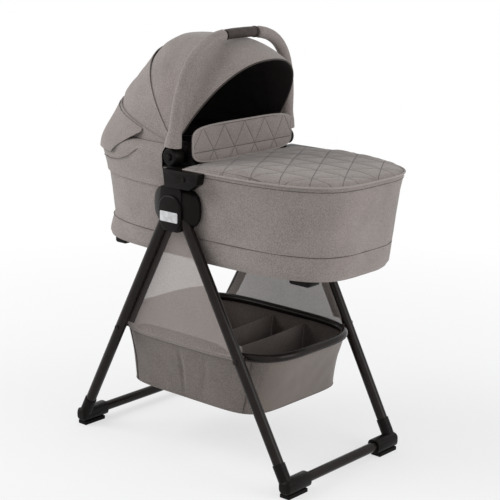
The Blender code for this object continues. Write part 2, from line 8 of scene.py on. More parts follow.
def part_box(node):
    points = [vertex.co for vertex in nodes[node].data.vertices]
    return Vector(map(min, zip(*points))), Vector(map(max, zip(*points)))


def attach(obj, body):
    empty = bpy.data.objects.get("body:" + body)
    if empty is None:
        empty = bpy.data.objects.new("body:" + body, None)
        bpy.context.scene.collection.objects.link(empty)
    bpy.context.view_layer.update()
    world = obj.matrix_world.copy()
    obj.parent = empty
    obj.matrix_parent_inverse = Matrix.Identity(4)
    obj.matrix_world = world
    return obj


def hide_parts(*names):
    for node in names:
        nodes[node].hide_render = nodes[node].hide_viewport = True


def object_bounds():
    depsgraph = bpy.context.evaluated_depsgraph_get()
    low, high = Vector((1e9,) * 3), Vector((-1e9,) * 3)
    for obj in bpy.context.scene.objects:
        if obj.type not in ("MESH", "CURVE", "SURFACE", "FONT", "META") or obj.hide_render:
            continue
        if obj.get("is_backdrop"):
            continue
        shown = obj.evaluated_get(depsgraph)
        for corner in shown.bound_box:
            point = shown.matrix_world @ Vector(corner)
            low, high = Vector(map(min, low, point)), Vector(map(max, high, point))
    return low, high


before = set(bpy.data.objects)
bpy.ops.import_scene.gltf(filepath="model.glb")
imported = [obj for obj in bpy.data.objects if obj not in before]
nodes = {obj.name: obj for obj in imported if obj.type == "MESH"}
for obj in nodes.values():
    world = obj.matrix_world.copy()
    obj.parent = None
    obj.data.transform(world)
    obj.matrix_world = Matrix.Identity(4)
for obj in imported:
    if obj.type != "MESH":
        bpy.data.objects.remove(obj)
cad_box = [list(corner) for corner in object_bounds()]
bpy.ops.object.select_all(action="DESELECT")

# The camera stands level with the canopy, off the foot end on the near side, with a long lens.
# Floor and backdrop are white paper; two large soft boxes and the white room light the object.
CAMERA_PLACE = (2.32265, -2.58669, 1.39352)
CAMERA_AZIMUTH, CAMERA_DIP, CAMERA_ROLL = 0.725049, 0.250150, 0.0085758
camera_data = bpy.data.cameras.new("camera")
camera = bpy.data.objects.new("camera", camera_data)
bpy.context.collection.objects.link(camera)
camera_data.sensor_width = 36
camera_data.lens = 102.6
camera_data.clip_end = 60
turn = Matrix.Rotation(CAMERA_AZIMUTH, 4, "Z") @ Matrix.Rotation(math.pi / 2 - CAMERA_DIP, 4, "X")
roll = Matrix.Rotation(CAMERA_ROLL, 4, "Z")
camera.matrix_world = Matrix.Translation(CAMERA_PLACE) @ turn @ roll
bpy.context.scene.camera = camera
bpy.context.scene.view_settings.view_transform = "Standard"

for name, place, aim, size, power in (
    ("key_light", (-2.6, -2.4, 3.0), (0, 0, 0.6), 2.6, 88),
    ("fill_light", (3.6, 0.8, 1.8), (0, 0, 0.6), 2.4, 52),
):
    lamp_data = bpy.data.lights.new(name, "AREA")
    lamp_data.size = size
    lamp_data.energy = power
    lamp = bpy.data.objects.new(name, lamp_data)
    bpy.context.collection.objects.link(lamp)
    lamp.location = place
    lamp.rotation_euler = (Vector(aim) - Vector(place)).to_track_quat("-Z", "Y").to_euler()


def white_to_the_eye(tree, shader, share):
    """Mixes plain white over a shader for what the camera, gloss and glass see of it."""
    path = tree.nodes.new("ShaderNodeLightPath")
    either = tree.nodes.new("ShaderNodeMath")
    either.operation = "MAXIMUM"
    tree.links.new(path.outputs["Is Camera Ray"], either.inputs[0])
    tree.links.new(path.outputs["Is Glossy Ray"], either.inputs[1])
    third = tree.nodes.new("ShaderNodeMath")
    third.operation = "MAXIMUM"
    tree.links.new(either.outputs[0], third.inputs[0])
    tree.links.new(path.outputs["Is Transmission Ray"], third.inputs[1])
    scale = tree.nodes.new("ShaderNodeMath")
    scale.operation = "MULTIPLY"
    tree.links.new(third.outputs[0], scale.inputs[0])
    scale.inputs[1].default_value = share
    white = tree.nodes.new("ShaderNodeEmission" if share < 1 else "ShaderNodeBackground")
    white.inputs["Color"].default_value = (1, 1, 1, 1)
    white.inputs["Strength"].default_value = 1
    mix = tree.nodes.new("ShaderNodeMixShader")
    tree.links.new(scale.outputs[0], mix.inputs["Fac"])
    tree.links.new(shader.outputs[0], mix.inputs[1])
    tree.links.new(white.outputs[0], mix.inputs[2])
    return mix


world = bpy.data.worlds.new("room")
world.use_nodes = True
bpy.context.scene.world = world
room = world.node_tree.nodes["Background"]
room.inputs["Color"].default_value = (0.92, 0.93, 0.95, 1)
room.inputs["Strength"].default_value = 0.58
mix = white_to_the_eye(world.node_tree, room, 1)
world.node_tree.links.new(mix.outputs[0], world.node_tree.nodes["World Output"].inputs["Surface"])

bpy.ops.mesh.primitive_plane_add(size=24, location=(0, 0, 0))
floor = bpy.context.active_object
floor.name = "floor"
paper = bpy.data.materials.new("white_paper")
paper.use_nodes = True
sheet_shader = paper.node_tree.nodes["Principled BSDF"]
sheet_shader.inputs["Base Color"].default_value = (0.9, 0.9, 0.9, 1)
sheet_shader.inputs["Roughness"].default_value = 0.9
UNDER_PART_WHITE = 0.62
mix = white_to_the_eye(paper.node_tree, sheet_shader, UNDER_PART_WHITE)
spot = paper.node_tree.nodes.new("ShaderNodeTexCoord")
away = paper.node_tree.nodes.new("ShaderNodeVectorMath")
away.operation = "LENGTH"
paper.node_tree.links.new(spot.outputs["Object"], away.inputs[0])
fade = paper.node_tree.nodes.new("ShaderNodeMapRange")
fade.inputs["From Min"].default_value = 0.7
fade.inputs["From Max"].default_value = 2.2
fade.inputs["To Min"].default_value = UNDER_PART_WHITE
fade.inputs["To Max"].default_value = 1.0
paper.node_tree.links.new(away.outputs["Value"], fade.inputs["Value"])
seen = mix.inputs["Fac"].links[0].from_node
paper.node_tree.links.new(fade.outputs["Result"], seen.inputs[1])
paper.node_tree.links.new(mix.outputs[0], paper.node_tree.nodes["Material Output"].inputs["Surface"])
floor.data.materials.append(paper)
floor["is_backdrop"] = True
bpy.ops.object.select_all(action="DESELECT")

# Floor bars: round steel tube with a satin black-brown powder coat, pushed into the corner fittings.
HUB_X = -0.0196
BAR_Z = 0.028
FOOT_REACH = 0.353
BAR_HALF = 0.155
BAR_RADIUS = 0.0125


def coated(name, colour, roughness, grain, depth, specular=0.09):
    """A coated or moulded finish: one colour with a little mottling and a fine grain."""
    material = bpy.data.materials.new(name)
    material.use_nodes = True
    tree = material.node_tree
    shader = tree.nodes["Principled BSDF"]
    place = tree.nodes.new("ShaderNodeTexCoord")
    mottle = tree.nodes.new("ShaderNodeTexNoise")
    mottle.inputs["Scale"].default_value = grain * 0.05
    ramp = tree.nodes.new("ShaderNodeValToRGB")
    ramp.color_ramp.elements[0].position = 0.35
    ramp.color_ramp.elements[0].color = (*(0.86 * c for c in colour), 1)
    ramp.color_ramp.elements[1].position = 0.65
    ramp.color_ramp.elements[1].color = (*(1.14 * c for c in colour), 1)
    fine = tree.nodes.new("ShaderNodeTexNoise")
    fine.inputs["Scale"].default_value = grain
    fine.inputs["Detail"].default_value = 4
    bump = tree.nodes.new("ShaderNodeBump")
    bump.inputs["Strength"].default_value = depth
    bump.inputs["Distance"].default_value = 0.0004
    tree.links.new(place.outputs["Object"], mottle.inputs["Vector"])
    tree.links.new(place.outputs["Object"], fine.inputs["Vector"])
    tree.links.new(mottle.outputs["Fac"], ramp.inputs["Fac"])
    tree.links.new(ramp.outputs["Color"], shader.inputs["Base Color"])
    tree.links.new(fine.outputs["Fac"], bump.inputs["Height"])
    tree.links.new(bump.outputs["Normal"], shader.inputs["Normal"])
    shader.inputs["Roughness"].default_value = roughness
    shader.inputs["Specular IOR Level"].default_value = specular
    return material


def finish(piece, body, material=None, stands_for=(), angle=40):
    """Applies the modifiers, smooths the shading, paints the piece and hands it to the frame."""
    bpy.ops.object.select_all(action="DESELECT")
    piece.select_set(True)
    bpy.context.view_layer.objects.active = piece
    for modifier in list(piece.modifiers):
        bpy.ops.object.modifier_apply(modifier=modifier.name)
    bpy.ops.object.shade_smooth_by_angle(angle=math.radians(angle))
    if material is not None:
        piece.data.materials.clear()
        piece.data.materials.append(material)
    bpy.ops.object.select_all(action="DESELECT")
    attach(piece, body)
    if stands_for:
        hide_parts(*stands_for)
    return piece


def grid_over(name, across, along, surface, merge=True):
    """Lays a grid primitive over a surface that is given by two numbers from 0 to 1."""
    bpy.ops.mesh.primitive_grid_add(
        x_subdivisions=across, y_subdivisions=along, size=1, location=(0.5, 0.5, 0)
    )
    piece = bpy.context.active_object
    piece.name = name
    bpy.ops.object.transform_apply(location=True, rotation=False, scale=False)
    for vertex in piece.data.vertices:
        vertex.co = surface(vertex.co.x, vertex.co.y)
    if merge:
        bpy.ops.object.mode_set(mode="EDIT")
        bpy.ops.mesh.select_all(action="SELECT")
        bpy.ops.mesh.remove_doubles(threshold=0.00005)
        bpy.ops.mesh.dissolve_degenerate(threshold=0.00001)
        bpy.ops.object.mode_set(mode="OBJECT")
    return piece


def swept(name, path, radii, normal, around=24, closed=False, stretch=1.0, shift=None):
    """A round bar, tube or roll of cloth along a planar path; a radius of 0 closes an end."""
    points = [Vector(p) for p in path]
    normal = Vector(normal).normalized()
    last = len(points) - 1
    frames = []
    for i, point in enumerate(points):
        before = points[i - 1] if i or closed else point
        after = points[(i + 1) % len(points)] if i < last or closed else point
        if (after - before).length < 1e-7:
            before, after = points[max(0, i - 2)], points[min(last, i + 2)]
        frames.append((after - before).normalized().cross(normal).normalized())
    rows = len(points) if closed else last

    def surface(u, v):
        i = round(v * rows) % len(points)
        a = -2 * math.pi * u
        centre = points[i] + (shift(i) if shift else Vector())
        return centre + radii[i] * (math.cos(a) * frames[i] + stretch * math.sin(a) * normal)

    piece = grid_over(name, around, rows, surface)
    bpy.ops.object.mode_set(mode="EDIT")
    bpy.ops.mesh.select_all(action="SELECT")
    bpy.ops.mesh.normals_make_consistent(inside=False)
    bpy.ops.object.mode_set(mode="OBJECT")
    return piece


def bar(start, stop, radius, round_off=0.0008):
    """Path and radii of a straight tube whose cut ends are slightly rounded."""
    start, stop = Vector(start), Vector(stop)
    step = (stop - start).normalized() * round_off
    path = [start, start, start + step, (start + stop) / 2, stop - step, stop, stop]
    return path, [0, radius - round_off, radius, radius, radius, radius - round_off, 0]


powder = coated("black_powder_coat", (0.0135, 0.0100, 0.0086), 0.22, 900, 0.1, 0.14)
for end_name, end in (("foot", 1), ("head", -1)):
    x = HUB_X + end * FOOT_REACH
    path, radii = bar((x, -BAR_HALF, BAR_Z), (x, BAR_HALF, BAR_Z), BAR_RADIUS)
    piece = swept(f"floor_tube_{end_name}", path, radii, (0, 0, 1), 32)
    finish(piece, "stand", powder, [f"floor_bar_{end_name}"])

# Legs: the same coated tube, two to a side, pinned in the hub and pushed into a corner fitting.
# Each has a black rivet where it passes the basket's rail.
LEG_TOP = (0.020, 0.2145, 0.640)
LEG_FOOT = (FOOT_REACH, 0.203, BAR_Z)
LEG_RADIUS = 0.0135
LEG_SHARES = (-0.0172, 0.9683)


def leg_point(end, side, along):
    top = Vector((HUB_X + end * LEG_TOP[0], side * LEG_TOP[1], LEG_TOP[2]))
    foot = Vector((HUB_X + end * LEG_FOOT[0], side * LEG_FOOT[1], LEG_FOOT[2]))
    return top + (foot - top) * along


def leg_at(end, side, z):
    return leg_point(end, side, (LEG_TOP[2] - z) / (LEG_TOP[2] - BAR_Z))


for end_name, end in (("foot", 1), ("head", -1)):
    for side_name, side in (("near", -1), ("far", 1)):
        high, low = (leg_point(end, side, share) for share in LEG_SHARES)
        path, radii = bar(high, low, LEG_RADIUS)
        piece = swept(f"leg_tube_{end_name}_{side_name}", path, radii, (0, 1, 0), 32)
        finish(piece, "stand", powder, [f"leg_{end_name}_{side_name}"])
        rivet = nodes[f"rivet_{end_name}_{side_name}"]
        rivet.data.materials.clear()
        rivet.data.materials.append(powder)


# Corner fittings: moulded black nylon elbows with softened edges, on grey-black rubber pads.
def softened(node, width, body, material, segments=3, angle=35):
    """A moulding with its edges rounded, on the same solid as the frame's node."""
    piece = nodes[node].copy()
    piece.data = nodes[node].data.copy()
    piece.name = f"{node}_moulding"
    for key in list(piece.keys()):
        del piece[key]
    piece.parent = None
    piece.matrix_world = Matrix.Identity(4)
    bpy.context.collection.objects.link(piece)
    bpy.ops.object.select_all(action="DESELECT")
    piece.select_set(True)
    bpy.context.view_layer.objects.active = piece
    bpy.ops.object.mode_set(mode="EDIT")
    bpy.ops.mesh.select_all(action="SELECT")
    bpy.ops.mesh.remove_doubles(threshold=0.00002)
    bpy.ops.mesh.dissolve_limited(angle_limit=math.radians(1))
    bpy.ops.object.mode_set(mode="OBJECT")
    bevel = piece.modifiers.new("soften", "BEVEL")
    bevel.width = width
    bevel.segments = segments
    bevel.angle_limit = math.radians(angle)
    bevel.harden_normals = False
    return finish(piece, body, material, [node], 50)


moulded = coated("moulded_black", (0.0060, 0.0048, 0.0043), 0.36, 1500, 0.2)
rubber = coated("pad_rubber", (0.0085, 0.0075, 0.007), 0.8, 1800, 0.5)
for end_name in ("foot", "head"):
    for side_name in ("near", "far"):
        key = f"{end_name}_{side_name}"
        softened(f"corner_fitting_{key}", 0.0015, "stand", moulded)
        softened(f"foot_pad_{key}", 0.0015, "stand", rubber)

# Hubs: a moulded housing takes both legs of a side; an oval cap covers it, with a blank silver plate.
badge_metal = coated("brushed_plate", (0.60, 0.60, 0.61), 0.35, 1400, 0.08, 0.5)
for side_name, side in (("near", -1), ("far", 1)):
    softened(f"hub_housing_{side_name}", 0.002, "stand", moulded)
    softened(f"hub_cap_{side_name}", 0.001, "stand", moulded, 2)
    softened(f"hub_badge_{side_name}", 0.0004, "stand", badge_metal, 2)

# Rail loop: one bent tube, riveted to the legs, that the basket hangs from.
RAIL_Z = 0.304
RAIL_HALF_X, RAIL_HALF_Y, RAIL_POWER = 0.270, 0.189, 3.9


def unit(a, power):
    """A point on a rounded square of half width 1, in the direction of the angle a."""
    c, s = math.cos(a), math.sin(a)
    length = (abs(c) ** power + abs(s) ** power) ** (1 / power)
    return c / length, s / length


def oval(half_x, half_y, power, z, count, centre_x, turns=(0.0, 1.0)):
    """Points round a rounded rectangle, or along part of it."""
    points = []
    steps = count if turns[1] - turns[0] >= 1 else count + 1
    for i in range(steps):
        c, s = unit(2 * math.pi * (turns[0] + (turns[1] - turns[0]) * i / count), power)
        points.append(Vector((centre_x + half_x * c, half_y * s, z)))
    return points


path = oval(RAIL_HALF_X, RAIL_HALF_Y, RAIL_POWER, RAIL_Z, 120, HUB_X)
piece = swept("rail_tube", path, [0.010] * 120, (0, 0, 1), 20, closed=True)
finish(piece, "stand", powder, ["basket_rail"])

# Basket: a cloth bag of taupe melange hung from the rail, with piped lower edges and soft creases,
# a stiff base and two dark cross dividers.
def quilt_lines(pitch):
    """The three sets of sewn lines: how much of each axis counts, and the lines' spacing."""
    slope = 0.62
    return (1.0, slope, pitch), (1.0, -slope, pitch), (0.0, 1.0, pitch / (2 * slope))


def woven(name, light, dark, weave=1500.0, depth=0.35, sheen=0.25, lines=None):
    """Melange cloth: light and dark yarns in short flecks, a fine weave, and sewn lines if asked,
    darkened with painted shade.
    """
    material = bpy.data.materials.new(name)
    material.use_nodes = True
    tree = material.node_tree
    shader = tree.nodes["Principled BSDF"]
    place = tree.nodes.new("ShaderNodeTexCoord")
    flecks = []
    for scale, stretch in ((420.0, (1, 1, 2.4)), (380.0, (1, 2.2, 0.8))):
        mapping = tree.nodes.new("ShaderNodeMapping")
        mapping.inputs["Scale"].default_value = stretch
        fleck = tree.nodes.new("ShaderNodeTexNoise")
        fleck.inputs["Scale"].default_value = scale
        fleck.inputs["Detail"].default_value = 3
        tree.links.new(place.outputs["Object"], mapping.inputs["Vector"])
        tree.links.new(mapping.outputs["Vector"], fleck.inputs["Vector"])
        flecks.append(fleck)
    both = tree.nodes.new("ShaderNodeMath")
    both.operation = "ADD"
    tree.links.new(flecks[0].outputs["Fac"], both.inputs[0])
    tree.links.new(flecks[1].outputs["Fac"], both.inputs[1])
    cloud = tree.nodes.new("ShaderNodeTexNoise")
    cloud.inputs["Scale"].default_value = 14
    tree.links.new(place.outputs["Object"], cloud.inputs["Vector"])
    third = tree.nodes.new("ShaderNodeMath")
    third.operation = "MULTIPLY_ADD"
    tree.links.new(cloud.outputs["Fac"], third.inputs[0])
    third.inputs[1].default_value = 0.25
    tree.links.new(both.outputs[0], third.inputs[2])
    ramp = tree.nodes.new("ShaderNodeValToRGB")
    ramp.color_ramp.elements[0].position = 0.93 / 2
    ramp.color_ramp.elements[0].color = (*dark, 1)
    ramp.color_ramp.elements[1].position = 1.32 / 2
    ramp.color_ramp.elements[1].color = (*light, 1)
    half = tree.nodes.new("ShaderNodeMath")
    half.operation = "MULTIPLY"
    half.inputs[1].default_value = 0.5
    tree.links.new(third.outputs[0], half.inputs[0])
    tree.links.new(half.outputs[0], ramp.inputs["Fac"])
    yarn = tree.nodes.new("ShaderNodeTexVoronoi")
    yarn.inputs["Scale"].default_value = weave
    tree.links.new(place.outputs["Object"], yarn.inputs["Vector"])
    bump = tree.nodes.new("ShaderNodeBump")
    bump.inputs["Strength"].default_value = depth
    bump.inputs["Distance"].default_value = 0.0005
    tree.links.new(yarn.outputs["Distance"], bump.inputs["Height"])
    colour = ramp.outputs["Color"]
    normal = bump.outputs["Normal"]
    if lines is not None:
        first, second, pitch = lines
        part = tree.nodes.new("ShaderNodeSeparateXYZ")
        tree.links.new(place.outputs["Object"], part.inputs[0])
        near_line = None
        for across, slope, step in quilt_lines(pitch):
            level = tree.nodes.new("ShaderNodeMath")
            level.operation = "MULTIPLY"
            level.inputs[1].default_value = across
            tree.links.new(part.outputs[first], level.inputs[0])
            lean = tree.nodes.new("ShaderNodeMath")
            lean.operation = "MULTIPLY_ADD"
            tree.links.new(part.outputs[second], lean.inputs[0])
            lean.inputs[1].default_value = slope
            tree.links.new(level.outputs[0], lean.inputs[2])
            away = tree.nodes.new("ShaderNodeMath")
            away.operation = "PINGPONG"
            away.inputs[1].default_value = step / 2
            tree.links.new(lean.outputs[0], away.inputs[0])
            least = tree.nodes.new("ShaderNodeMath")
            least.operation = "MINIMUM"
            least.inputs[0].default_value = 1.0
            if near_line is not None:
                tree.links.new(near_line.outputs[0], least.inputs[0])
            tree.links.new(away.outputs[0], least.inputs[1])
            near_line = least
        groove = tree.nodes.new("ShaderNodeMapRange")
        groove.inputs["From Min"].default_value = 0.0002
        groove.inputs["From Max"].default_value = 0.0017
        tree.links.new(near_line.outputs[0], groove.inputs["Value"])
        seam = tree.nodes.new("ShaderNodeBump")
        seam.inputs["Strength"].default_value = 0.6
        seam.inputs["Distance"].default_value = 0.002
        tree.links.new(groove.outputs["Result"], seam.inputs["Height"])
        tree.links.new(normal, seam.inputs["Normal"])
        normal = seam.outputs["Normal"]
        # The sewn lines sink in by bump, and their colour is darkened towards the dark yarn: painted
        # shade in the grooves.
        shade = tree.nodes.new("ShaderNodeMix")
        shade.data_type = "RGBA"
        tree.links.new(groove.outputs["Result"], shade.inputs["Factor"])
        shade.inputs["A"].default_value = (*(0.62 * c for c in dark), 1)
        tree.links.new(colour, shade.inputs["B"])
        colour = shade.outputs["Result"]
    tree.links.new(colour, shader.inputs["Base Color"])
    tree.links.new(normal, shader.inputs["Normal"])
    shader.inputs["Roughness"].default_value = 0.92
    shader.inputs["Sheen Weight"].default_value = sheen
    shader.inputs["Sheen Roughness"].default_value = 0.5
    shader.inputs["Specular IOR Level"].default_value = 0.2
    return material


def thicken(piece, thickness, offset, inner_slot=0):
    """Gives a cloth surface its thickness; the inside's material is so many slots further on."""
    cloth = piece.modifiers.new("cloth", "SOLIDIFY")
    cloth.thickness = thickness
    cloth.offset = offset
    cloth.material_offset = inner_slot


MELANGE_LIGHT = (0.345, 0.300, 0.278)
MELANGE_DARK = (0.205, 0.175, 0.160)
melange = woven("taupe_melange", MELANGE_LIGHT, MELANGE_DARK)
basket_cloth = woven("basket_melange", (0.205, 0.175, 0.160), (0.120, 0.101, 0.092))
piping_cloth = woven("piping_melange", (0.40, 0.355, 0.33), (0.27, 0.235, 0.215), 2200.0)
lining = woven("dark_lining", (0.030, 0.0245, 0.0230), (0.017, 0.0138, 0.0128), 1800.0, 0.2, 0.1)
bag_lining = woven("basket_lining", (0.165, 0.138, 0.126), (0.100, 0.083, 0.075), 1800.0, 0.2, 0.1)
seam_cloth = woven("basket_seam_cloth", (0.095, 0.079, 0.071), (0.065, 0.054, 0.048), 2200.0)
# The ends' copy of the basket cloth is lighter and more even, with more sheen: painted light on the lit
# ends.
lit_end_cloth = woven("basket_end_cloth", (0.190, 0.158, 0.138), (0.150, 0.123, 0.107), 2600.0, 0.15, 0.4)
BAG_TOP = 0.2937
BAG_BOTTOM = 0.155
BAG_POWER = 6.0


def bag_wall(a, t, out=0.0):
    """A point on the bag's side, t from the rail down to the floor, with its sag and creases."""
    c, s = unit(a, RAIL_POWER)
    top = Vector(((0.271 + out) * c, (0.190 + out) * s, BAG_TOP))
    c, s = unit(a, BAG_POWER)
    point = top.lerp(Vector(((0.2215 + out) * c, (0.1795 + out) * s, BAG_BOTTOM)), t)
    hang = math.sin(math.pi * min(1, 0.9 * t + 0.05))
    sag = 0.004 * hang + 0.0022 * hang * noise.noise(Vector((5 * math.cos(a), 5 * math.sin(a), 2.5 * t)))
    if s < 0:
        crease = math.exp(-(((point.x + 0.018 - 0.012 * t) / 0.006) ** 2))
        crease += 0.5 * math.exp(-(((point.x - 0.075 + 0.02 * t) / 0.010) ** 2))
        sag += 0.0040 * crease * hang
    point.x -= sag * c * (0.4 if abs(c) < 0.9 else 1.0)
    point.y -= sag * s
    return Vector((HUB_X + point.x, point.y, point.z))


def bag_surface(u, v):
    a = -2 * math.pi * u
    if v < 0.68:
        return bag_wall(a, v / 0.68)
    t = (v - 0.68) / 0.32
    c, s = unit(a, BAG_POWER)
    wave = 0.0012 * noise.noise(Vector((5 * t * c, 5 * t * s, 1)))
    return Vector((HUB_X + 0.2185 * (1 - t) * c, 0.1765 * (1 - t) * s, BAG_BOTTOM + 0.0006 + wave * t))


bag = grid_over("basket_cloth_bag", 400, 50, bag_surface)
for material in (basket_cloth, lit_end_cloth, bag_lining, bag_lining):
    bag.data.materials.append(material)
# End faces, picked by the way they face, take that lighter copy: painted light.
for face in bag.data.polygons:
    if abs(face.center.x - HUB_X) > 0.20 and abs(face.normal.x) > 0.75:
        face.material_index = 1
thicken(bag, 0.0025, -1, 2)
finish(bag, "stand", None, ["basket_bag"], 60)
path = oval(0.2200, 0.1780, BAG_POWER, BAG_BOTTOM + 0.0025, 120, HUB_X)
piping = swept("basket_bottom_piping", path, [0.0026] * 120, (0, 0, 1), 10, closed=True)
finish(piping, "stand", basket_cloth)
for corner in (0.86, -0.86, math.pi - 0.86, math.pi + 0.86):
    path = [bag_wall(corner, 0.02 + 0.96 * i / 24, 0.0008) for i in range(25)]
    normal = (math.sin(corner), -math.cos(corner), 0)
    piece = swept("basket_corner_seam", path, [0.0016] * 25, normal, 8)
    finish(piece, "stand", seam_cloth)
board = nodes["basket_base_board"]
board.data.materials.clear()
board.data.materials.append(bag_lining)
for name in ("front", "rear"):
    low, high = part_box(f"basket_divider_{name}")
    reach = []
    for t in (1.0, 0.0):
        angles = [math.radians(60 + 0.25 * i) for i in range(240)]
        nearest = min(angles, key=lambda a: abs(bag_wall(a, t).x - (low.x + high.x) / 2))
        reach.append(bag_wall(nearest, t).y - 0.0035 - 0.0045 * (1 - t))

    def divider_surface(u, v, low=low, high=high, reach=reach):
        half = reach[0] + (reach[1] - reach[0]) * v - 0.004 * math.sin(math.pi * v)
        sway = 0.0015 * math.sin(9 * u) * math.sin(math.pi * v)
        z = low.z + 0.0004 + (high.z - low.z - 0.001) * v - 0.006 * math.sin(math.pi * u) * v
        return Vector(((low.x + high.x) / 2 + sway, half * (2 * u - 1), z))

    piece = grid_over(f"basket_divider_cloth_{name}", 40, 12, divider_surface)
    thicken(piece, 0.0022, 0)
    finish(piece, "stand", bag_lining, [f"basket_divider_{name}"])

# Rail band: a strip of the basket's cloth wound over the rail's near side and head end.
path = oval(RAIL_HALF_X, RAIL_HALF_Y, RAIL_POWER, RAIL_Z + 0.0065, 80, HUB_X, (0.375, 0.848))
path = [path[0]] + path + [path[-1]]
radii = [0, 0.0105] + [0.0112] * 79 + [0.0105, 0]
band = swept("rail_band", path, radii, (0, 0, 1), 16, stretch=1.8)
band_cloth = woven("rail_band_cloth", (0.27, 0.232, 0.212), (0.17, 0.142, 0.128))
finish(band, "stand", band_cloth)

# Side panels: sheer warm-grey mesh stretched between each pair of legs, bound in dark tape.
net = woven("sheer_mesh", (0.46, 0.405, 0.378), (0.36, 0.312, 0.290), 900.0, 0.2)
net.node_tree.nodes["Principled BSDF"].inputs["Alpha"].default_value = 0.60
tape = woven("dark_binding", (0.060, 0.046, 0.041), (0.040, 0.031, 0.028), 1800.0, 0.3)
for side_name, side in (("near", -1), ("far", 1)):

    def mesh_surface(u, v, side=side):
        z = 0.3020 + 0.2860 * v
        left, right = leg_at(-1, side, z), leg_at(1, side, z)
        point = left.lerp(right, u)
        point.y -= side * (0.0143 + 0.0006 * math.sin(math.pi * u) * math.sin(math.pi * v))
        low = max(0.0, 1 - v / 0.10)
        reach = min(1.0, abs(point.x - HUB_X) / RAIL_HALF_X)
        rail_y = side * (RAIL_HALF_Y * (1 - reach**RAIL_POWER) ** (1 / RAIL_POWER) + 0.0105)
        point.y += (rail_y - point.y) * low * low
        return point

    piece = grid_over(f"mesh_panel_{side_name}", 60, 50, mesh_surface, merge=False)
    thicken(piece, 0.0008, 0)
    finish(piece, "stand", net, [f"side_mesh_{side_name}"])
    for end_name, end in (("foot", 1), ("head", -1)):

        def tape_surface(u, v, side=side, end=end):
            point = leg_at(end, side, 0.318 + 0.268 * v)
            point.x -= end * (0.0085 + 0.019 * u)
            point.y -= side * 0.0128
            return point

        piece = grid_over(f"panel_tape_{side_name}_{end_name}", 4, 30, tape_surface, merge=False)
        thicken(piece, 0.0012, 0)
        finish(piece, "stand", tape)

# Tub: a stiff shell in a fitted cloth cover, hemmed round the floor, with a sewn band low on the
# side, a piped rim and a dark lining inside.
TUB_X = 0.0062
RIM_Z = 0.738
TUB_POWER = 3.6
TUB_FLOOR_Z = 0.516
LINED_FLOOR_Z = 0.530
LINING_INSET = 0.0095
TUB_PROFILE = (
    (TUB_FLOOR_Z, 0.378, 0.1780),
    (0.526, 0.385, 0.1825),
    (0.580, 0.390, 0.1845),
    (0.700, 0.4062, 0.1945),
    (RIM_Z, 0.4110, 0.2093),
)


def tub_half(z):
    for (z0, x0, y0), (z1, x1, y1) in zip(TUB_PROFILE, TUB_PROFILE[1:]):
        if z <= z1:
            t = max(0.0, (z - z0) / (z1 - z0))
            return x0 + (x1 - x0) * t, y0 + (y1 - y0) * t
    return TUB_PROFILE[-1][1:]


def head_power(z):
    """The head end's roundness: square at the floor, rounder from 60 mm up."""
    return 3.5 - 0.85 * min(1.0, max(0.0, (z - TUB_FLOOR_Z) / 0.059))


def round_tub(u, z, out, scale=1.0):
    """A point on the tub's wall: once round for u from 0 to 1, moved out by a distance."""
    c, s = unit(2 * math.pi * u, TUB_POWER)
    if c < 0:
        c, s = unit(2 * math.pi * u, head_power(z))
    half_x, half_y = tub_half(z)
    return Vector((TUB_X + (half_x + out) * scale * c, (half_y + out) * scale * s, z))


def tub_surface(u, v):
    if v < 0.12:
        return round_tub(u, TUB_FLOOR_Z, -0.0025 if v > 0.118 else 0, v / 0.12)
    if v < 0.6:
        t = (v - 0.12) / 0.48
        z = TUB_FLOOR_Z + (RIM_Z - TUB_FLOOR_Z) * t
        a = 2 * math.pi * u
        ripple = 0.0012 * noise.noise(Vector((9 * math.cos(a), 9 * math.sin(a), 5 * t)))
        return round_tub(u, z, ripple - 0.0008 * math.sin(math.pi * t))
    if v < 0.68:
        return round_tub(u, RIM_Z, -0.009 * (v - 0.6) / 0.08) + Vector((0, 0, 0.001))
    if v < 0.88:
        t = (v - 0.68) / 0.2
        return round_tub(u, RIM_Z - (RIM_Z - LINED_FLOOR_Z) * t, -LINING_INSET)
    return round_tub(u, LINED_FLOOR_Z, -LINING_INSET, max(0.0, 1 - (v - 0.88) / 0.12))


tub = grid_over("tub_cover", 192, 100, tub_surface)
finish(tub, "bassinet", melange, ["tub_shell"], 60)
tub.data.materials.append(lining)
for face in tub.data.polygons:
    x, y, z = face.center
    half_x, half_y = tub_half(z)
    power = TUB_POWER if x > TUB_X else head_power(z)
    depth = (abs((x - TUB_X) / (half_x - 0.0045))) ** power + (abs(y / (half_y - 0.0045))) ** power
    if depth < 1 and z > 0.522:
        face.material_index = 1


# Seam lines are drawn as dark cords: painted shade where the seams sink into the cloth.
seam_groove_shade = woven("seam_shadow", (0.105, 0.088, 0.080), (0.075, 0.062, 0.056), 2600.0)


def sewn_line(name, points, body, radius=0.0009):
    """A sewn seam drawn as a fine dark cord laid on the cloth: painted shade in the seam's groove."""
    bpy.ops.curve.primitive_bezier_circle_add(radius=1)
    line = bpy.context.active_object
    line.name = name
    line.data.splines.clear()
    spline = line.data.splines.new("POLY")
    spline.points.add(len(points) - 1)
    for place, point in zip(spline.points, points):
        place.co = (*point, 1)
    line.data.bevel_depth = radius
    line.data.bevel_resolution = 2
    line.data.use_fill_caps = True
    bpy.ops.object.convert(target="MESH")
    line = bpy.context.active_object
    return finish(line, body, seam_groove_shade)


# The band's seam: a dark cord of painted shade.
path = [round_tub(0.25 + 0.5 * i / 80, 0.566, 0.0004) for i in range(81)]
sewn_line("tub_band_seam", path, "bassinet")

# Mattress: a foam pad in pale knitted cotton on the tub's floor.
MATTRESS_ROWS = (
    (0.0, 0.0),
    (0.9, 0.0),
    (0.985, 0.006),
    (1.0, 0.020),
    (0.985, 0.034),
    (0.93, 0.042),
    (0.5, 0.046),
    (0, 0.046),
)


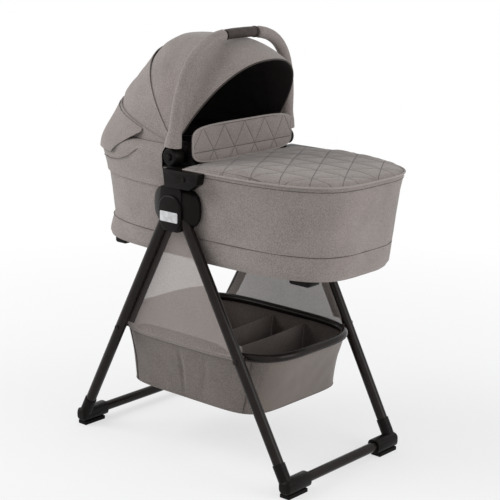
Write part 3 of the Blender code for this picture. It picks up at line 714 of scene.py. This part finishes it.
def mattress_surface(u, v):
    a = 2 * math.pi * u
    place = v * (len(MATTRESS_ROWS) - 1)
    i = min(int(place), len(MATTRESS_ROWS) - 2)
    t = place - i
    (scale0, rise0), (scale1, rise1) = MATTRESS_ROWS[i : i + 2]
    scale = scale0 + (scale1 - scale0) * t
    z = LINED_FLOOR_Z + 0.0008 + rise0 + (rise1 - rise0) * t
    c, s = unit(a, TUB_POWER if math.cos(a) > 0 else head_power(z))
    return Vector((TUB_X + 0.3655 * scale * c, 0.163 * scale * s, z))


cotton = woven("mattress_cotton", (0.62, 0.59, 0.56), (0.48, 0.45, 0.42))
mattress = grid_over("mattress_pad", 96, 42, mattress_surface)
finish(mattress, "bassinet", cotton, ["mattress"], 60)

# Tub feet and adapters: black mouldings. The adapters drop into the hubs; each has a push button.
for end_name in ("foot", "head"):
    for side_name in ("near", "far"):
        softened(f"tub_foot_{end_name}_{side_name}", 0.002, "bassinet", moulded)
for side_name in ("near", "far"):
    softened(f"adapter_{side_name}", 0.0022, "bassinet", moulded)
    softened(f"side_bracket_{side_name}", 0.001, "bassinet", moulded, 2)
    softened(
        f"release_button_{side_name}", 0.0005, f"release_button_{side_name}_body", moulded, 2
    )


# Foot cover: quilted top over a skirt that hangs outside the tub, piped where they meet and sewn
# with a band above the hem.
COVER_HEM_Z = 0.5145
COVER_OUT = 0.0043
COVER_PITCH = 0.084
COVER_ROWS = ((1.0, 0.0), (0.97, 0.45), (0.88, 0.75), (0.66, 0.95), (0.36, 1.0), (0.0, 1.0))


def half_tub(u, z, out, scale=1.0):
    """The same wall, over its foot half only, from the near side round to the far side."""
    c, s = unit(math.pi * u, TUB_POWER)
    half_x, half_y = tub_half(z)
    return Vector((TUB_X + (half_x + out) * scale * abs(s), -(half_y + out) * scale * c, z))


def quilt_height(p, q, pitch):
    """How far the wadding swells between the sewn lines, from 0 on a line to 1."""
    least = 1.0
    for across, slope, step in quilt_lines(pitch):
        away = abs((across * p + slope * q + step / 2) % step - step / 2)
        least = min(least, away / (pitch / 3))
    return 1 - (1 - least) ** 3


def cover_surface(u, v):
    if v < 0.4:
        t = v / 0.4
        z = COVER_HEM_Z + (RIM_Z - COVER_HEM_Z) * t
        a = math.pi * u
        ripple = 0.0016 * noise.noise(Vector((6 * math.cos(a), 6 * math.sin(a), 3 * t)))
        return half_tub(u, z, COVER_OUT + ripple + 0.0010 * math.sin(math.pi * t))
    t = (v - 0.4) / 0.6
    scale = 1 - t
    for (s0, h0), (s1, h1) in zip(COVER_ROWS, COVER_ROWS[1:]):
        if scale >= s1:
            height = h0 + (h1 - h0) * (s0 - scale) / (s0 - s1)
            break
    point = half_tub(u, RIM_Z, COVER_OUT, scale)
    along = min(1.0, (point.x - TUB_X) / 0.16)
    edge = 0.0057 * height
    puff = 0.0026 * quilt_height(point.x, point.y, COVER_PITCH) * min(1.0, t * 12)
    point.z = RIM_Z + COVER_OUT + edge + (0.020 * height - edge) * along + puff * along - 0.002 * along
    return point


quilt = woven("quilted_melange", MELANGE_LIGHT, MELANGE_DARK, lines=("X", "Y", COVER_PITCH))
cover = grid_over("foot_cover_cloth", 220, 150, cover_surface)
thicken(cover, 0.003, -1)
finish(cover, "bassinet", melange, ["foot_cover"], 60)
cover.data.materials.append(quilt)
for face in cover.data.polygons:
    if face.center.z > RIM_Z + 0.005:
        face.material_index = 1
path = [half_tub(i / 80, RIM_Z, 0.0052) + Vector((0, 0, 0.0040)) for i in range(81)]
piece = swept("cover_piping", [path[0]] + path + [path[-1]], [0] + [0.0024] * 81 + [0], (0, 0, 1), 10)
finish(piece, "bassinet", piping_cloth)
# The cover's seams: dark cords of painted shade.
path = [half_tub(0.02 + 0.96 * i / 80, 0.574, 0.0052) for i in range(81)]
sewn_line("cover_band_seam", path, "bassinet")
path = [half_tub(0.01 + 0.98 * i / 80, 0.731, 0.0052) for i in range(81)]
sewn_line("cover_rim_seam", path, "bassinet", 0.0006)

# Wind flap: a quilted pad with a piped edge that stands up at the cover's opening.
FLAP_LOW = 0.7488
FLAP_TOP = 0.838
FLAP_HALF = 0.180
FLAP_POWER = 5.0
FLAP_PITCH = 0.074


def flap_surface(u, v):
    """Front from the middle out, round the edge, and back in behind."""
    inside = abs(2 * v - 1)
    face = 1 if v < 0.5 else -1
    reach = 1 - inside
    c, s = unit(2 * math.pi * u, FLAP_POWER)
    y = FLAP_HALF * reach * c
    z = (FLAP_LOW + FLAP_TOP) / 2 + (FLAP_TOP - FLAP_LOW) / 2 * reach * s
    swell = (1 - reach**6) ** 0.5 if reach < 1 else 0.0
    puff = 0.0018 * quilt_height(y, z, FLAP_PITCH)
    return Vector((TUB_X + face * (0.0035 * swell + puff * swell), y, z))


quilt_upright = woven(
    "quilted_melange_flap", MELANGE_LIGHT, MELANGE_DARK, lines=("Y", "Z", FLAP_PITCH)
)
flap = grid_over("wind_flap_pad", 200, 96, flap_surface)
finish(flap, "wind_flap_body", quilt_upright, ["wind_flap"], 70)
edge = []
for i in range(120):
    c, s = unit(2 * math.pi * i / 120, FLAP_POWER)
    z = (FLAP_LOW + FLAP_TOP) / 2 + (FLAP_TOP - FLAP_LOW) / 2 * s
    edge.append(Vector((TUB_X, FLAP_HALF * c, z)))
piece = swept("wind_flap_piping", edge, [0.0026] * 120, (1, 0, 0), 10, closed=True)
finish(piece, "wind_flap_body", piping_cloth)

# Canopy: four cloth fans hinged on the rim brackets about one axis, taupe outside and dark inside.
# They nest backwards over each other. A fan's stations are its angle and its reach from the axis.
CANOPY_X = -0.0546
CANOPY_Z = 0.790
CANOPY_POWER = 2.3
CANOPY_CLOTH = 0.0022
HINGE_GAP = 0.010
HEM_SHARE = 0.08
FANS = {
    "front": (0.1760, ((54, 0.2500), (67, 0.2500), (80, 0.2500), (94, 0.2500)), "canopy_front_fan"),
    "second": (
        0.1790,
        (
            (91, 0.2560),
            (98, 0.2562),
            (103, 0.2580),
            (109, 0.2660),
            (115, 0.2745),
            (123, 0.2775),
            (132, 0.2710),
        ),
        "canopy_second_fan",
    ),
    "third": (
        0.1820,
        (
            (129, 0.2790),
            (134, 0.2770),
            (140, 0.2785),
            (145, 0.2825),
            (150, 0.2870),
            (155, 0.2980),
            (160, 0.3075),
            (168, 0.3085),
        ),
        "canopy_third_fan",
    ),
    "rear": (0.1850, ((165, 0.3150), (172, 0.3200), (180, 0.3370)), "bassinet"),
}
INNER_REACH = {"second": 0.2528, "third": 0.2765, "rear": 0.3095}


def fan_point(half, stations, u, v, inset=0.0):
    """A point on a fan: u from the near side over the top to the far side, v from front to back."""
    degrees = stations[0][0] + (stations[-1][0] - stations[0][0]) * v
    reach = stations[-1][1]
    for (a0, r0), (a1, r1) in zip(stations, stations[1:]):
        if degrees <= a1:
            t = (degrees - a0) / (a1 - a0)
            reach = r0 + (r1 - r0) * t
            break
    angle = math.radians(degrees)
    reach -= inset
    start = math.atan(HINGE_GAP / reach)
    c, s = unit(start + (math.pi - 2 * start) * u, CANOPY_POWER)
    r = reach * s
    y = -(half - inset) * c
    return Vector((CANOPY_X + r * math.cos(angle), y, CANOPY_Z + r * math.sin(angle)))


def fan_cut(half, stations, hem):
    """A fan's flat cut, from its outline: crown width, length along the bow, and area."""
    crown = hem
    for (a0, r0), (a1, r1) in zip(stations, stations[1:]):
        crown += math.hypot((r0 + r1) / 2 * math.radians(a1 - a0), r1 - r0)
    reach = sum(r for _, r in stations) / len(stations)
    start = math.atan(HINGE_GAP / reach)
    bow, area, before = 0.0, 0.0, unit(start, CANOPY_POWER)
    for i in range(1, 201):
        c, s = unit(start + (math.pi - 2 * start) * i / 200, CANOPY_POWER)
        step = math.hypot(half * (c - before[0]), reach * (s - before[1]))
        bow += step
        area += step * ((crown - hem) * (s + before[1]) / 2 + hem)
        before = (c, s)
    return round(crown, 3), round(bow, 3), round(area, 4)


for name, (half, stations, body) in FANS.items():

    def fan_surface(u, v, name=name, half=half, stations=stations):
        if v < HEM_SHARE and name in INNER_REACH:
            edge = fan_point(half, stations, u, 0)
            hem_line = ((stations[0][0], INNER_REACH[name] + 0.0006), (181, 1.0))
            inner = fan_point(half - 0.0027, hem_line, u, 0)
            return edge.lerp(inner, (HEM_SHARE - v) / HEM_SHARE)
        v = (v - HEM_SHARE) / (1 - HEM_SHARE) if name in INNER_REACH else v
        sag = 0.0010 * math.sin(math.pi * v) * math.sin(math.pi * u)
        point = fan_point(half, stations, u, v, sag)
        fold = math.exp(-(((abs(u - 0.5) - 0.28) / 0.10) ** 2)) * math.sin(math.pi * v)
        return point.lerp(Vector((CANOPY_X, point.y, CANOPY_Z)), 0.010 * fold * noise.noise(point * 22))

    piece = grid_over(f"canopy_cloth_{name}", 96, 50, fan_surface, merge=False)
    piece.data.materials.append(melange)
    piece.data.materials.append(lining)
    thicken(piece, CANOPY_CLOTH, -1, 1)
    finish(piece, body, None, [f"canopy_{name}"], 60)
    hem = stations[0][1] - INNER_REACH.get(name, stations[0][1])
    wide, bow, area = fan_cut(half, stations, hem)
    if name == "front":
        path = [fan_point(half, stations, i / 60, 0.0, 0.0012) for i in range(61)]
        lean = math.radians(stations[0][0] + 90)
        normal = (math.cos(lean), 0, math.sin(lean))
        path = [path[0]] + path + [path[-1]]
        piece = swept("canopy_front_edge", path, [0] + [0.0019] * 61 + [0], normal, 10)
        finish(piece, body, tape)


# Canopy skirt: the same cloth from the rear fan down over the tub's rim at the head end.
def skirt_wall(a, z, out):
    """A point outside the tub at the head end, in the direction a from the near side."""
    half_x, half_y = tub_half(min(z, RIM_Z))
    c, s = unit(a, head_power(z))
    return Vector((TUB_X - (half_x + out) * s, -(half_y + out) * c, z))


SKIRT_HEM_Z = 0.685
SHOULDER_Z = 0.762
SKIRT_TOP_Z = 0.7895
SKIRT_TOP_REACH, SKIRT_TOP_HALF = 0.3368, 0.1855


def skirt_surface(u, v):
    start = math.atan(0.0722 / 0.4148)
    a = start + (math.pi - 2 * start) * u
    if v < 0.55:
        z = SKIRT_HEM_Z + (SHOULDER_Z - SKIRT_HEM_Z) * v / 0.55
        return skirt_wall(a, z, 0.0036 + 0.0012 * noise.noise(Vector((7 * u, 4 * v, 3))))
    t = (v - 0.55) / 0.45
    start = math.atan(0.0114 / SKIRT_TOP_REACH)
    c, s = unit(start + (math.pi - 2 * start) * u, CANOPY_POWER)
    top = Vector((CANOPY_X - SKIRT_TOP_REACH * s, -SKIRT_TOP_HALF * c, SKIRT_TOP_Z))
    point = skirt_wall(a, SHOULDER_Z, 0.0046).lerp(top, 1 - math.cos(t * math.pi / 2))
    point.z = SHOULDER_Z + (SKIRT_TOP_Z - SHOULDER_Z) * math.sin(t * math.pi / 2)
    return point


skirt = grid_over("canopy_skirt_cloth", 120, 30, skirt_surface, merge=False)
skirt.data.materials.append(lining)
skirt.data.materials.append(melange)
thicken(skirt, CANOPY_CLOTH, 1, 1)
finish(skirt, "bassinet", None, ["canopy_skirt"], 60)

# The vent's seams are dark cords of painted shade.
VENT_SEAM = (
    (18, 0.7860),
    (20, 0.7790),
    (23, 0.7660),
    (27, 0.7480),
    (33, 0.7330),
    (41, 0.7270),
    (50, 0.7265),
)
path = []
for degrees, height in VENT_SEAM:
    point = skirt_wall(math.radians(degrees), min(height, SHOULDER_Z), 0.0062)
    if height > SHOULDER_Z:
        rise = (height - SHOULDER_Z) / (SKIRT_TOP_Z - SHOULDER_Z)
        point.x += 0.010 * rise * rise
        point.y += 0.022 * rise * rise
        point.z = height
    path.append(point)
for side_name, side in (("near", 1), ("far", -1)):
    line = [Vector((p.x, side * p.y, p.z)) for p in path]
    sewn_line(f"vent_seam_{side_name}", line, "bassinet", 0.0008)

# Vent flap: a taut second layer sewn to the third fan's hem line that hangs over the rear fan and
# the top of the skirt, with its front corner cut back.
VENT_START = 0.36
VENT_ANGLE = math.radians(166.5)
VENT_REACH, VENT_HALF = 0.3178, 0.1868


def vent_surface(u, v):
    a = VENT_START + (math.pi - 2 * VENT_START) * u
    c, s = unit(a, CANOPY_POWER)
    reach = VENT_REACH * s
    across = CANOPY_X + reach * math.cos(VENT_ANGLE)
    top = Vector((across, -VENT_HALF * c, CANOPY_Z + reach * math.sin(VENT_ANGLE)))
    low = skirt_wall(a + 0.10 * math.cos(a) ** 3, 0.747, 0.0094)
    from_corner = min(u, 1 - u) * (math.pi - 2 * VENT_START)
    cut_back = min(1.0, 0.12 + 0.88 * from_corner / 0.24)
    point = top.lerp(low, v * cut_back)
    bulge = 0.0068 * math.sin(math.pi * (v * cut_back) ** 1.8) + 0.0012
    point.x -= bulge * s
    point.y -= bulge * c
    return point


vent = grid_over("vent_flap_cloth", 120, 24, vent_surface, merge=False)
vent.data.materials.append(melange)
vent.data.materials.append(lining)
thicken(vent, 0.0020, -1, 1)
finish(vent, "bassinet", None, (), 60)

# Handle: an arched tube inside two padded cloth sleeves, with a ribbed leatherette grip between.
HANDLE_X = -0.0346
HANDLE_Z = 0.767
HANDLE_LEAN = 0.107
HANDLE_RISE = 0.282
HANDLE_HALF = 0.205
HANDLE_POWER = 3.1
GRIP_HALF = 0.056


def handle_point(a):
    rise = HANDLE_RISE * math.sin(a) ** (2 / HANDLE_POWER)
    across = -HANDLE_HALF * math.copysign(abs(math.cos(a)) ** (2 / HANDLE_POWER), math.cos(a))
    return Vector((HANDLE_X + HANDLE_LEAN * rise, across, HANDLE_Z + rise))


arch_normal = (1, 0, -HANDLE_LEAN)
grip_angle = math.acos((GRIP_HALF / HANDLE_HALF) ** (HANDLE_POWER / 2))
sleeve_start = math.asin((0.0240 / HANDLE_RISE) ** (HANDLE_POWER / 2))
for side_name, side in (("near", -1), ("far", 1)):
    count = 48
    path, radii = [], []
    for i in range(count + 1):
        t = i / count
        point = handle_point(sleeve_start + (grip_angle - sleeve_start) * t)
        flare = 0.0056 * math.exp(-((0.36 * t / 0.013) ** 2))
        flare += 0.0010 * math.exp(-((0.36 * t / 0.06) ** 2))
        end_round = math.sqrt(max(0.0, 1 - max(0.0, (t - 0.975) / 0.03) ** 2))
        path.append(Vector((point.x, side * (abs(point.y) + 0.6 * flare), point.z)))
        wrinkle = 0.0004 * noise.noise(Vector((0, side, 60 * t)))
        radii.append((0.0146 + flare + wrinkle) * end_round)
    path = [path[0]] + path + [path[-1]]
    radii = [0.0100] + radii + [0.0]
    piece = swept(f"handle_sleeve_cloth_{side_name}", path, radii, arch_normal, 24)
    finish(piece, "handle", melange, [f"handle_sleeve_{side_name}"], 60)
path, radii = [], []
for i in range(121):
    t = i / 120
    path.append(handle_point(grip_angle + (math.pi - 2 * grip_angle) * t))
    rib = 0.0004 * math.sin(2 * math.pi * 14 * t)
    ring = 0.0012 if 0.86 < t < 0.95 and math.sin(2 * math.pi * (t - 0.86) / 0.03) > 0 else 0.0
    radii.append(0.0128 + 0.2 * rib + ring)
leatherette = coated("grip_leatherette", (0.066, 0.053, 0.049), 0.42, 1300, 0.5)
path = [path[0]] + path + [path[-1]]
piece = swept("handle_grip_cover", path, [0.0100] + radii + [0.0100], arch_normal, 24)
finish(piece, "handle", leatherette, ["handle_grip"], 40)
nodes["handle_tube"].data.materials.clear()
nodes["handle_tube"].data.materials.append(powder)
for side_name in ("near", "far"):
    softened(f"handle_hub_{side_name}", 0.0012, "handle", moulded)
    softened(
        f"handle_button_{side_name}", 0.0006, f"handle_button_{side_name}_body", moulded, 2
    )

size = {"cad": cad_box, "visual": [list(corner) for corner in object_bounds()]}
